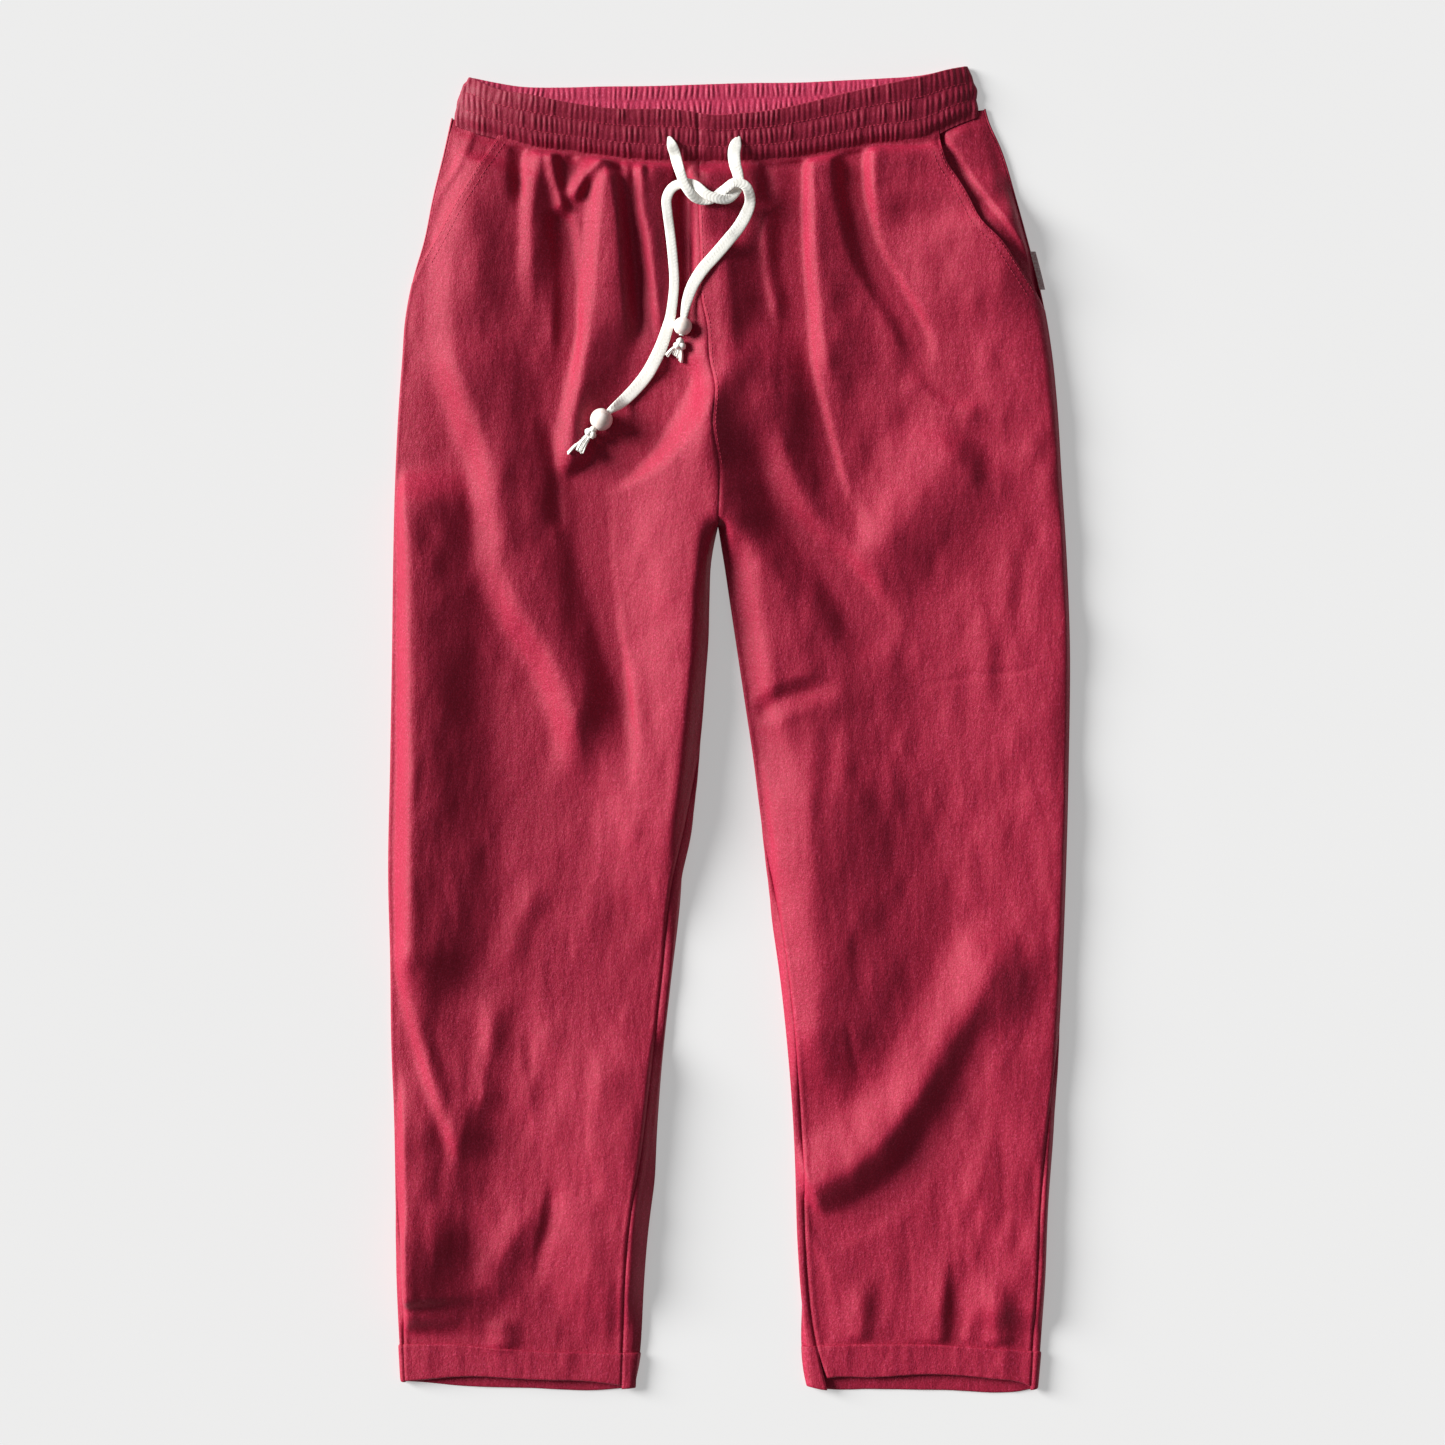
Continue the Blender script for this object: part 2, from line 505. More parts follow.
def grid_mesh(name, points, mat, turn=False):
    """A smooth piece from a grid of points in millimetres, riding on the garment."""
    points = np.concatenate([points[..., :2], np.maximum(points[..., 2:], 0.05)], -1)
    rows, cols = points.shape[:2]
    mesh = bpy.data.meshes.new(name)
    mesh.vertices.add(rows * cols)
    mesh.vertices.foreach_set("co", (points * 0.001).astype(np.float32).ravel())
    number = np.arange(rows * cols).reshape(rows, cols)
    quads = np.stack([number[:-1, :-1], number[1:, :-1], number[1:, 1:], number[:-1, 1:]], -1)
    quads = quads.reshape(-1, 4)
    if turn:
        quads = quads[:, ::-1]
    mesh.loops.add(quads.size)
    mesh.loops.foreach_set("vertex_index", quads.ravel().astype(np.int32))
    mesh.polygons.add(len(quads))
    mesh.polygons.foreach_set("loop_start", np.arange(0, quads.size, 4, dtype=np.int32))
    mesh.update(calc_edges=True)
    mesh.validate()
    return add_piece(name, mesh, mat)


def add_piece(name, mesh, mat):
    """Links a mesh as one smooth piece of the garment."""
    for face in mesh.polygons:
        face.use_smooth = True
    mesh.materials.append(mat)
    obj = bpy.data.objects.new(name, mesh)
    bpy.context.scene.collection.objects.link(obj)
    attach(obj, "root")
    return obj


class Nodes:
    """Short calls that add and link shader nodes."""

    def __init__(self, name):
        self.material = bpy.data.materials.new(name)
        self.material.use_nodes = True
        self.tree = self.material.node_tree
        self.shader = self.tree.nodes["Principled BSDF"]

    def add(self, kind, settings=(), inputs=()):
        """A node with some settings, and with values or links on some inputs."""
        node = self.tree.nodes.new(kind)
        for key, value in dict(settings).items():
            setattr(node, key, value)
        for key, value in dict(inputs).items():
            self.join(value, node.inputs[key])
        return node

    def join(self, value, socket):
        """Links an output to an input, or sets the input to a value."""
        if isinstance(value, bpy.types.NodeSocket):
            self.tree.links.new(value, socket)
        else:
            socket.default_value = value

    def place(self, scale):
        """Object coordinates in metres times a scale for each axis."""
        where = self.add("ShaderNodeTexCoord").outputs["Object"]
        node = self.add("ShaderNodeMapping", {}, {"Vector": where, "Scale": scale})
        return node.outputs["Vector"]

    def noise(self, scale, detail=2.0, rough=0.5):
        """Noise with its grain given for each axis, in cells a metre."""
        node = self.add("ShaderNodeTexNoise", {},
                        {"Vector": self.place(scale), "Scale": 1.0, "Detail": detail,
                         "Roughness": rough})
        return node.outputs["Fac"]

    def wave(self, scale, axis, distort):
        """Threads across one axis, a little uneven."""
        node = self.add("ShaderNodeTexWave", {"bands_direction": axis},
                        {"Vector": self.place((1, 1, 1)), "Scale": scale,
                         "Distortion": distort, "Detail": 1.0, "Detail Scale": 0.6})
        return node.outputs["Fac"]

    def spread(self, value, low, high, out_low, out_high):
        """A value moved from one range to another, held at its ends."""
        node = self.add("ShaderNodeMapRange", {}, {"Value": value, "From Min": low,
                                                   "From Max": high, "To Min": out_low,
                                                   "To Max": out_high})
        return node.outputs["Result"]

    def math(self, what, a, b):
        """Two values added, multiplied and so on."""
        node = self.add("ShaderNodeMath", {"operation": what})
        self.join(a, node.inputs[0])
        self.join(b, node.inputs[1])
        return node.outputs["Value"]

    def mix(self, share, first, second):
        """Two colours mixed by a share."""
        node = self.add("ShaderNodeMix", {"data_type": "RGBA"})
        self.join(share, node.inputs["Factor"])
        self.join(first, node.inputs[6])
        self.join(second, node.inputs[7])
        return node.outputs[2]

    def bump(self, height, distance, strength, below=None):
        """A bump from a height, over another bump if one is given."""
        node = self.add("ShaderNodeBump", {}, {"Height": height, "Distance": distance,
                                               "Strength": strength})
        if below is not None:
            self.join(below, node.inputs["Normal"])
        return node.outputs["Normal"]


def linen(name, base, light, dark, grain):
    """Washed slub linen: uneven threads both ways, fuzz, small crinkles and soft patches."""
    n = Nodes(name)
    warp = n.noise((1200, 760, 900), 3.0, 0.6)
    weft = n.noise((700, 1200, 900), 3.0, 0.6)
    fuzz = n.noise((760, 620, 760), 4.0, 0.65)
    patch = n.noise((34, 20, 34), 3.0, 0.55)
    crinkle = n.noise((190, 95, 160), 3.0, 0.6)
    threads = n.math("MULTIPLY", n.math("ADD", warp, weft), 0.5)
    tone = n.math("ADD", n.math("MULTIPLY", threads, 0.55), n.math("MULTIPLY", fuzz, 0.45))
    colour = n.mix(n.spread(tone, 0.40, 0.60, 0.0, 1.0), (*dark, 1), (*base, 1))
    shine = n.spread(fuzz, 0.54, 0.72, 0.0, 0.45)
    colour = n.mix(shine, colour, (*light, 1))
    colour = n.mix(n.spread(patch, 0.35, 0.65, 0.0, 0.22), colour, (*dark, 1))
    n.join(colour, n.shader.inputs["Base Color"])
    rough = n.spread(threads, 0.3, 0.7, 0.5, 0.62)
    n.join(rough, n.shader.inputs["Roughness"])
    n.shader.inputs["Sheen Weight"].default_value = 0.06
    n.shader.inputs["Sheen Roughness"].default_value = 0.45
    n.shader.inputs["Sheen Tint"].default_value = (1.0, 0.52, 0.6, 1.0)
    n.shader.inputs["Specular IOR Level"].default_value = 0.3
    weave_x = n.wave(420.0, "X", 1.5)
    weave_y = n.wave(380.0, "Y", 1.5)
    weave = n.math("ADD", weave_x, weave_y)
    bumped = n.bump(crinkle, 0.0016, 0.45 * grain)
    bumped = n.bump(tone, 0.0009, 0.7 * grain, bumped)
    bumped = n.bump(weave, 0.00012, 0.5 * grain, bumped)
    n.join(bumped, n.shader.inputs["Normal"])
    return n.material


CLOTH = linen("crimson_linen", (0.41, 0.010, 0.050), (0.64, 0.075, 0.18),
              (0.28, 0.004, 0.025), 1.0)
# The gathered band looks deeper outside and brighter inside, as in the photo.
BAND = linen("crimson_band", (0.29, 0.008, 0.038), (0.47, 0.05, 0.125),
             (0.21, 0.005, 0.022), 0.6)
INSIDE = linen("crimson_inside", (0.46, 0.030, 0.090), (0.64, 0.13, 0.24),
               (0.36, 0.016, 0.055), 0.6)


def spread_columns(start, end, near, middle):
    """Places from start to end, close together near both ends."""
    lead = np.array(near)
    inside = np.linspace(start + near[-1], end - near[-1], middle + 1)
    return np.concatenate([start + lead[:-1], inside, end - lead[:-1][::-1]])


def shell(ring, side, rows, from_side, from_inner, near, middle):
    """Grid of points between two arc lengths, and each point's arc from both ends."""
    whole = ring.width(rows)
    arcs = np.array([spread_columns(a, w - b, near, middle)
                     for a, b, w in zip(from_side, from_inner, whole)])
    outer = arcs - arcs[:, :1]
    inner = arcs[:, -1:] - arcs
    if side > 0:
        arcs = (whole[:, None] - arcs)[:, ::-1]
        outer = outer[:, ::-1]
        inner = inner[:, ::-1]
    grid = np.repeat(rows[:, None], arcs.shape[1], 1)
    return ring.point(grid, arcs), outer, inner


def with_lips(points, n, wall):
    """The grid with its two side edges turned in, so that the cloth shows its thickness."""
    first = points[:, :1]
    last = points[:, -1:]
    first_n = n[:, :1]
    last_n = n[:, -1:]
    step_a = points[:, 1:2] - first
    step_b = points[:, -2:-1] - last
    step_a = step_a / np.linalg.norm(step_a, axis=-1, keepdims=True)
    step_b = step_b / np.linalg.norm(step_b, axis=-1, keepdims=True)
    left = [first - wall * first_n + 1.5 * step_a, first - wall * first_n,
            first - 0.35 * wall * first_n - 0.12 * step_a]
    right = [last - 0.35 * wall * last_n - 0.12 * step_b, last - wall * last_n,
             last - wall * last_n + 1.5 * step_b]
    return np.concatenate(left + [points] + right, axis=1)


def pocket_arc(side, rows, table):
    """Arc length from the side outline to a pocket edge, at panel rows."""
    gx = edge_of(table, rows, 1, leg_y)
    outline = edge_of(SIDE_LEFT if side < 0 else SIDE_RIGHT, rows, 1, leg_y)
    away = np.maximum((outline - gx) * side * GRID, 0.0)
    away = np.where(leg_y(1, rows, outline) > table[-1][0], 0.0, away)
    bend = EDGE_RADIUS * np.arccos(np.clip(1.0 - away / EDGE_RADIUS, -1.0, 1.0))
    return np.where(away < EDGE_RADIUS, bend, away + (QUARTER - 1.0) * EDGE_RADIUS)


def half_rings(side, layer):
    """The surface above the crotch and the surface of the leg, for one half."""
    seam = FRONT_SEAM if layer > 0 else BACK_SEAM
    if side < 0:
        upper = Ring(layer, SIDE_LEFT, seam, (True, False), leg_y)
        lower = Ring(layer, SIDE_LEFT, INNER_LEFT, (True, True), leg_y)
    else:
        upper = Ring(layer, seam, SIDE_RIGHT, (False, True), leg_y)
        lower = Ring(layer, INNER_RIGHT, SIDE_RIGHT, (True, True), leg_y)
    return upper, lower


# Front and back panels: fine shells from the waist seam to the cuff.  Their edges dip into
# the seams, and a soft ridge beside each shows the seam allowance under the cloth.
NEAR = [0.0, 0.5, 1.0, 1.6, 2.3, 3.1, 4.0, 5.1, 6.3]
grounds = []
for side, word in ((-1, "left"), (1, "right")):
    torso = np.concatenate([np.arange(146.0, 526.0, 2.2), [527.5]])
    leg = np.concatenate([[530.0], np.arange(531.5, 1358.0, 2.2)])
    wrap_side = along(WRAP_SIDE_LEFT if side < 0 else WRAP_SIDE_RIGHT, leg)
    wrap_inner = along(WRAP_INNER_LEFT if side < 0 else WRAP_INNER_RIGHT, leg)
    pocket = POCKET_LEFT if side < 0 else POCKET_RIGHT
    for layer, name in ((1, "front_"), (-1, "back_")):
        upper, lower = half_rings(side, layer)
        near = NEAR if layer > 0 else [0.0, 0.9, 1.8, 3.0, 4.4, 6.0]
        middle = 132 if layer > 0 else 24
        torso_rows = torso if layer > 0 else np.append(torso[:-1:3], torso[-1])
        share = np.arange(len(leg)) if layer > 0 else np.append(np.arange(0, len(leg) - 1, 3),
                                                                len(leg) - 1)
        leg_rows = leg[share]
        cut = pocket_arc(side, torso_rows, pocket) if layer > 0 else torso_rows * 0.0
        free = torso_rows * 0.0
        top, top_o, top_i = shell(upper, side, torso_rows, cut, free, near, middle)
        low, low_o, low_i = shell(lower, side, leg_rows, layer * wrap_side[share],
                                  layer * wrap_inner[share], near, middle)
        points = np.vstack([top, low])
        outer = np.vstack([top_o, low_o])
        inner = np.vstack([top_i, low_i])
        n = normals(points, 1.0 if layer < 0 else 1.0)
        n = n * np.where(n[len(n) // 2, n.shape[1] // 2, 2] * layer > 0, 1.0, -1.0)
        torso_part = np.arange(len(points))[:, None] < len(top)
        depth = np.where(torso_part, 0.5, 0.8) * bump(inner, 0.8) + 0.8 * bump(outer, 0.9)
        ridge = (np.where(torso_part, 0.1, 0.4) * bump(inner - 3.0, 1.5)
                 + 0.3 * bump(outer - 3.0, 1.6))
        if layer > 0:
            open_part = np.concatenate([smooth(cut / 4.0), leg_rows * 0.0])[:, None]
            depth = depth - 0.8 * bump(outer, 0.9) * open_part
        points = points + (ridge - depth)[..., None] * n
        points = with_lips(points, n, WALL)
        piece = grid_mesh(name + word + "_cloth", points, CLOTH, layer < 0)
        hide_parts(name + word)
        if layer > 0:
            grounds.append(piece)

# Pocket facings: the hip piece that shows inside each slanted opening, sunk where the
# right pocket gapes, with a narrow fold standing along the left one.
for side, word in ((-1, "left"), (1, "right")):
    ring = half_rings(side, 1)[0]
    last = 302.0 if side < 0 else 330.0
    rows = np.arange(147.0, last, 1.8)
    cut = pocket_arc(side, rows, POCKET_LEFT if side < 0 else POCKET_RIGHT)
    under = ring.width(rows) - (cut + 6.0)
    points, outer, inner = shell(ring, side, rows, rows * 0.0, under,
                                 [0.0, 0.4, 0.8], 26)
    n = normals(points, 1.0)
    n = n * np.where(n[4, 12, 2] > 0, 1.0, -1.0)
    points = points - (WALL + 0.45) * n
    gx = points[..., 0] / GRID + MIDDLE_X
    gy = MIDDLE_Y - points[..., 1] / GRID
    if side > 0:
        sunk = smooth((along(FACING_RIGHT, gy) - gx) / 9.0)
        points[..., 2] = points[..., 2] - 4.0 * sunk
    else:
        fold = along([(130, 474), (160, 463), (198, 440), (230, 430)], gy)
        points[..., 2] = points[..., 2] + 1.3 * bump(gx - fold, 5.0) * smooth((235 - gy) / 60)
    piece = grid_mesh("pocket_facing_" + word + "_cloth", points, CLOTH)
    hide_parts("pocket_facing_" + word)


# Waistband: an elastic casing folded over its top edge.  Two stitched lines part it into
# three channels, and the gathers between them wander and differ in height.
def gathers(place, row, seed):
    """Height of the gathers from 0 to 1 at a place along the band in millimetres and a row."""
    channel = np.digitize(row, (0.335, 0.675))
    shift = 360.0 * channel
    wander = 0.45 * noise(place + shift, channel * 1.0, 17, 50, seed) + 0.37 * channel
    sway = 0.2 * noise(place, row * 30, 9, 9, seed + 1)
    phase = place / 4.4 + wander + sway
    crest = np.abs(np.cos(math.pi * phase)) ** 1.2
    height = 0.75 + 0.7 * noise(place + shift, row * 30, 5, 12, seed + 2)
    return crest * np.clip(height, 0.1, 1.2)


for layer, word in ((1, "front"), (-1, "back")):
    ring = Ring(layer, BAND_LEFT, BAND_RIGHT, (True, True), band_y)
    lines = np.array([-0.04, 0.0, 0.03, 0.06, 0.1, 0.14, 0.18, 0.22, 0.26, 0.29, 0.315, 0.33,
                      0.345, 0.37, 0.4, 0.44, 0.48, 0.52, 0.56, 0.6, 0.635, 0.66, 0.675,
                      0.69, 0.715, 0.75, 0.79, 0.83, 0.87, 0.91, 0.945, 0.97, 0.985])
    roll = np.array([(0.997, 0.25), (1.002, 0.75), (1.003, 1.3), (0.998, 1.9), (0.985, 2.2)])
    inside = np.stack([np.linspace(0.95, 0.0, 30), np.full(30, 2.3)], -1)
    profile = np.vstack([np.stack([lines, lines * 0.0], -1), roll, inside])
    rows = profile[:, 0]
    depth = profile[:, 1][:, None]
    whole = ring.width(rows)
    columns = 640
    arcs = np.array([np.linspace(0.0, w, columns) for w in whole])
    grid = np.repeat(rows[:, None], columns, 1)
    points = ring.point(grid, arcs)
    base = normals(ring.point(grid, arcs), 1.0)
    flat = ring.point(np.repeat(np.linspace(0, 1, 12)[:, None], columns, 1),
                      np.array([np.linspace(0.0, w, columns) for w in
                                ring.width(np.linspace(0, 1, 12))]))
    n = normals(flat, 1.0)
    n = n * np.where(n[6, columns // 2, 2] * layer > 0, 1.0, -1.0)
    pick = np.clip(np.rint(rows * 11).astype(int), 0, 11)
    n = n[pick]
    arc = arcs * (480.0 / whole[:, None])
    seed = 20 if layer > 0 else 40
    gx = points[..., 0] / GRID + MIDDLE_X
    rib = gathers(points[..., 0] + 0.06 * arc, grid, seed)
    puff = np.where(grid < 0.33, bump(grid - 0.16, 0.13),
                    np.where(grid < 0.675, bump(grid - 0.5, 0.13), bump(grid - 0.85, 0.15)))
    height = 0.6 * puff + 0.78 * rib * (0.35 + 0.65 * puff)
    if layer > 0:
        plain = bump(gx - 706.5, 4.5)
        height = height * (1 - 0.75 * plain) + 0.7 * plain - 0.9 * bump(gx - 698.5, 1.6)
    turned = depth > 1.2
    height = np.where(turned, -height * (0.8 if layer > 0 else 1.0), height)
    hidden = layer < 0
    if hidden:
        under = smooth((3.0 - np.minimum(arcs, whole[:, None] - arcs)) / 3.0)
        height = np.where(turned, height, 0.0) * (1 - under)
    points = points + (height - depth)[..., None] * n
    if layer > 0:
        rise = 8.5 * np.clip(grid, 0.0, 1.0) - 1.0
        reach = np.minimum(arcs, whole[:, None] - arcs)
        points[..., 2] = points[..., 2] + rise * smooth(reach / 60.0)
    else:
        rise = 8.0 * np.clip(1.0 - grid, 0.0, 0.75)
        reach = np.minimum(arcs, whole[:, None] - arcs)
        points[..., 2] = points[..., 2] + rise * smooth((reach - 12.0) / 60.0)
    piece = grid_mesh("waistband_" + word + "_cloth", points, BAND if layer > 0 else INSIDE,
                      layer > 0)
    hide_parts("waistband_" + word)
    if layer > 0:
        grounds.append(piece)

# Turned-up cuffs: each half is a folded strip that stands a little off the leg.
for side, word in ((-1, "left"), (1, "right")):
    left = SIDE_LEFT if side < 0 else INNER_RIGHT
    right = INNER_LEFT if side < 0 else SIDE_RIGHT
    edge = np.array([(0.05, 2.6), (0.0, 2.2), (-0.012, 1.4), (-0.006, 0.6), (0.015, 0.12)])
    lines = np.linspace(0.05, 0.94, 22)
    hem = np.array([(0.965, 0.08), (0.985, 0.35), (1.0, 0.9), (1.0, 1.6), (0.985, 2.2),
                    (0.95, 2.45), (0.8, 2.5), (0.5, 2.5), (0.2, 2.5)])
    profile = np.vstack([edge, np.stack([lines, lines * 0.0], -1), hem])
    for layer, half in ((1, "front"), (-1, "back")):
        ring = Ring(layer, left, right, (True, True), cuff_y, EDGE_RADIUS + 0.4)
        rows = profile[:, 0]
        outline = left if side < 0 else right
        at = cuff_y(layer, rows, edge_of(outline, rows, layer, cuff_y))
        wrap_side = along(WRAP_SIDE_LEFT if side < 0 else WRAP_SIDE_RIGHT, at)
        wrap_inner = along(WRAP_INNER_LEFT if side < 0 else WRAP_INNER_RIGHT, at)
        points, outer, inner = shell(ring, side, rows, layer * wrap_side,
                                     layer * wrap_inner, [0.0, 0.6, 1.3, 2.1, 3.0, 4.2, 5.6],
                                     110 if layer > 0 else 40)
        steady = np.linspace(0.0, 1.0, len(rows))
        smooth_points = shell(ring, side, steady, np.interp(steady, rows[5:27], layer *
                              wrap_side[5:27]), np.interp(steady, rows[5:27], layer *
                              wrap_inner[5:27]), [0.0, 0.6, 1.3, 2.1, 3.0, 4.2, 5.6],
                              110 if layer > 0 else 40)[0]
        n = normals(smooth_points, 1.0)
        n = n * np.where(n[8, n.shape[1] // 2, 2] * layer > 0, 1.0, -1.0)
        n = n[np.clip(np.rint(rows * (len(rows) - 1)).astype(int), 0, len(rows) - 1)]
        depth = profile[:, 1][:, None]
        gx = points[..., 0] / GRID + MIDDLE_X
        gy = MIDDLE_Y - points[..., 1] / GRID
        height = 1.0 - 0.8 * bump(inner, 1.0) - 0.8 * bump(outer, 1.0)
        height = height + 0.3 * noise(gx, gy, 16, 60, 31) + 0.2 * noise(gx, gy, 7, 18, 32)
        points = points + (height - depth)[..., None] * n
        piece = grid_mesh("cuff_" + half + "_" + word + "_cloth", points, CLOTH,
                          layer < 0)
        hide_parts("cuff_" + half + "_" + word)
        if layer > 0:
            grounds.append(piece)


def tree_of(objects):
    """A search tree over several meshes, in metres."""
    points = []
    faces = []
    for obj in objects:
        start = len(points)
        points.extend([v.co.copy() for v in obj.data.vertices])
        faces.extend([[start + k for k in f.vertices] for f in obj.data.polygons])
    return BVHTree.FromPolygons(points, faces)


cloth_tree = tree_of(grounds)


def ground(x, y):
    """Height of the cloth under a point, all in millimetres."""
    hit = cloth_tree.ray_cast(Vector((x * 0.001, y * 0.001, 0.2)), Vector((0.0, 0.0, -1.0)))
    return 0.0 if hit[0] is None else hit[0].z * 1000.0


def disc_height(x, y, radius):
    """Highest cloth within a disc."""
    best = ground(x, y)
    for share in (0.5, 1.0):
        for k in range(12):
            turn = math.pi * k / 6.0
            px = x + radius * share * math.cos(turn)
            py = y + radius * share * math.sin(turn)
            best = max(best, ground(px, py))
    return best


def dome_height(x, y, radius, squash=1.0):
    """Centre height at which a ball just clears the cloth under it."""
    best = 0.0
    for share in (0.0, 0.2, 0.4, 0.55, 0.7, 0.82, 0.92, 0.99):
        for k in range(24):
            turn = math.pi * k / 12.0
            px = x + radius * share * math.cos(turn)
            py = y + radius * share * math.sin(turn)
            drop = squash * radius * math.sqrt(1.0 - share * share)
            best = max(best, ground(px, py) + drop)
    return best


def cotton(name, colour, shade, scale, distance):
    """Ivory cotton braid: soft matt yarn with a fine twist."""
    n = Nodes(name)
    yarn = n.noise((scale, scale * 0.8, scale), 4.0, 0.6)
    patch = n.noise((90, 70, 90), 2.0, 0.5)
    tone = n.math("ADD", n.math("MULTIPLY", yarn, 0.7), n.math("MULTIPLY", patch, 0.3))
    n.join(n.mix(n.spread(tone, 0.36, 0.6, 0.0, 1.0), (*shade, 1), (*colour, 1)),
           n.shader.inputs["Base Color"])
    n.shader.inputs["Roughness"].default_value = 0.9
    n.shader.inputs["Sheen Weight"].default_value = 0.3
    n.shader.inputs["Specular IOR Level"].default_value = 0.2
    n.join(n.bump(yarn, distance, 0.7), n.shader.inputs["Normal"])
    return n.material


# Drawcord: two strands of one flat braided cord in a half knot, each with a wooden bead
# and a knotted, frayed end.  Columns: x, y, width and thickness in mm, level in the knot.
CORD_RULE = [
    ("left",
     [(739, 139.5, 2.4, 1.4, 0), (736, 147, 8.4, 1.5, 0), (734, 156, 9.2, 1.6, 0),
      (735, 168, 8.8, 1.7, 0), (738, 179, 8, 2.0, 0), (738, 191, 7.4, 2.2, 0),
      (727, 203, 7.2, 2.4, 0.5), (709, 200, 7.2, 2.4, 1), (695, 189, 7.2, 2.4, 0.5),
      (684, 187, 7.2, 2.2, 0), (673, 191, 7.4, 2.0, 0), (667, 202, 7.4, 1.8, 0),
      (668, 217, 7.2, 1.7, 0), (670, 232, 7.2, 1.7, 0), (673, 259, 7.2, 1.7, 0),
      (674.5, 286, 7.2, 1.7, 0), (671.5, 314, 7.4, 1.7, 0), (668, 329, 8.4, 1.7, 0),
      (661, 349, 9.4, 1.7, 0), (650, 371, 9.8, 1.7, 0), (637, 388, 9.6, 1.7, 0),
      (621, 404, 8.4, 1.8, 0), (611, 412, 5, 3.0, 0), (602, 421, 3.4, 3.4, 0),
      (596.5, 428.3, 3.4, 3.4, 0)],
     (602, 421), (592, 433.5), 8.4, (579, 454)),
    ("right",
     [(669.5, 139.5, 2.4, 1.4, 0), (672, 148, 7.4, 1.5, 0), (675, 156, 8.2, 1.6, 0),
      (678, 168, 8, 1.8, 0.4), (681, 178, 7.4, 2.2, 1), (686, 191, 7.2, 2.4, 1),
      (696, 202, 7.2, 2.4, 0.5), (710, 203, 7.2, 2.4, 0), (724, 194, 7.2, 2.4, 0.5),
      (735, 187, 7.2, 2.3, 1), (746, 191, 7.4, 2.0, 1), (750, 204, 8, 1.8, 0.4),
      (746, 217, 9, 1.7, 0), (738, 231, 9.2, 1.7, 0), (727, 245, 9.4, 1.7, 0),
      (715, 259, 9.4, 1.7, 0), (702.5, 273, 9.2, 1.7, 0), (693.5, 287, 8.8, 1.7, 0),
      (688, 301, 8, 1.8, 0), (685, 314, 6, 2.6, 0), (683, 328.5, 3.4, 3.4, 0),
      (681.6, 338.2, 3.4, 3.4, 0)],
     (683, 328.5), (680, 346.5), 6.9, (675, 358)),
]
KNOT_AT = ((709.0 - MIDDLE_X) * GRID, (MIDDLE_Y - 196.0) * GRID)
KNOT_BASE = disc_height(KNOT_AT[0], KNOT_AT[1], 24.0)


def cord_line(table, bead_at, bead_height):
    """Ring centres, widths and thicknesses of a strand that lies on the cloth."""
    fine = curve(np.array(table, float), 10)
    flat = np.stack([(fine[:, 0] - MIDDLE_X) * GRID, (MIDDLE_Y - fine[:, 1]) * GRID], -1)
    part = np.hypot(*np.diff(flat, axis=0).T)
    passed = np.concatenate([[0.0], np.cumsum(part)])
    count = int(passed[-1] / 1.5)
    s = np.linspace(0.0, passed[-1], count)
    line = np.stack([np.interp(s, passed, flat[:, k]) for k in range(2)], -1)
    width = np.interp(s, passed, fine[:, 2])
    thick = np.interp(s, passed, fine[:, 3])
    level = np.interp(s, passed, fine[:, 4])
    base = np.array([disc_height(x, y, 0.5 * w + 2.5) for (x, y), w in zip(line, width)])
    room = np.array([base[max(0, i - 3):i + 4].max() for i in range(count)])
    soft = np.array([room[max(0, i - 3):i + 4].mean() for i in range(count)])
    knot = np.hypot(line[:, 0] - KNOT_AT[0], line[:, 1] - KNOT_AT[1])
    soft = np.maximum(soft, KNOT_BASE + (soft - KNOT_BASE) * smooth((knot - 27.0) / 14.0))
    z = soft + 0.2 + 0.5 * thick + 4.0 * smooth(level)
    z = z - 2.2 * (1.0 - smooth(s / 7.0))
    away = np.hypot(line[:, 0] - bead_at[0], line[:, 1] - bead_at[1])
    share = 1.0 - smooth((away - 9.0) / 16.0)
    z = z * (1.0 - share) + bead_height * share
    return np.column_stack([line, z]), width, thick, s


def braid(name, centre, width, thick, s, mat):
    """A flat strand swept along its path, its two faces raised in the plaits of a braid."""
    fine = np.arange(0.0, s[-1], 0.55)
    path = np.stack([np.interp(fine, s, centre[:, k]) for k in range(3)], -1)
    wide = np.interp(fine, s, width)
    deep = np.interp(fine, s, thick)
    way = np.gradient(path, axis=0)
    way = way / np.linalg.norm(way, axis=1, keepdims=True)
    aside = np.cross(way, (0.0, 0.0, 1.0))
    aside = aside / np.linalg.norm(aside, axis=1, keepdims=True)
    up = np.cross(aside, way)
    turn = np.linspace(0.0, 2.0 * math.pi, 33)
    c = np.cos(turn)
    q = np.sin(turn)
    u = np.sign(c) * np.abs(c) ** 0.8
    v = np.sign(q) * np.abs(q) ** 0.55
    plait = np.abs(np.sin(math.pi * (fine[:, None] / 2.6 + 0.9 * np.abs(u)[None, :])))
    middle = 1.0 - 0.5 * bump(u, 0.12)[None, :]
    lift = (0.22 * plait ** 0.7 * middle - 0.1) * np.minimum(deep, wide)[:, None] / 2.2
    rings = (path[:, None, :]
             + (0.5 * wide[:, None] * u[None, :] + 0.35 * lift * c[None, :])[..., None]
             * aside[:, None, :]
             + (0.5 * deep[:, None] * v[None, :] + lift * v[None, :])[..., None]
             * up[:, None, :])
    return grid_mesh(name, rings, mat), path, way


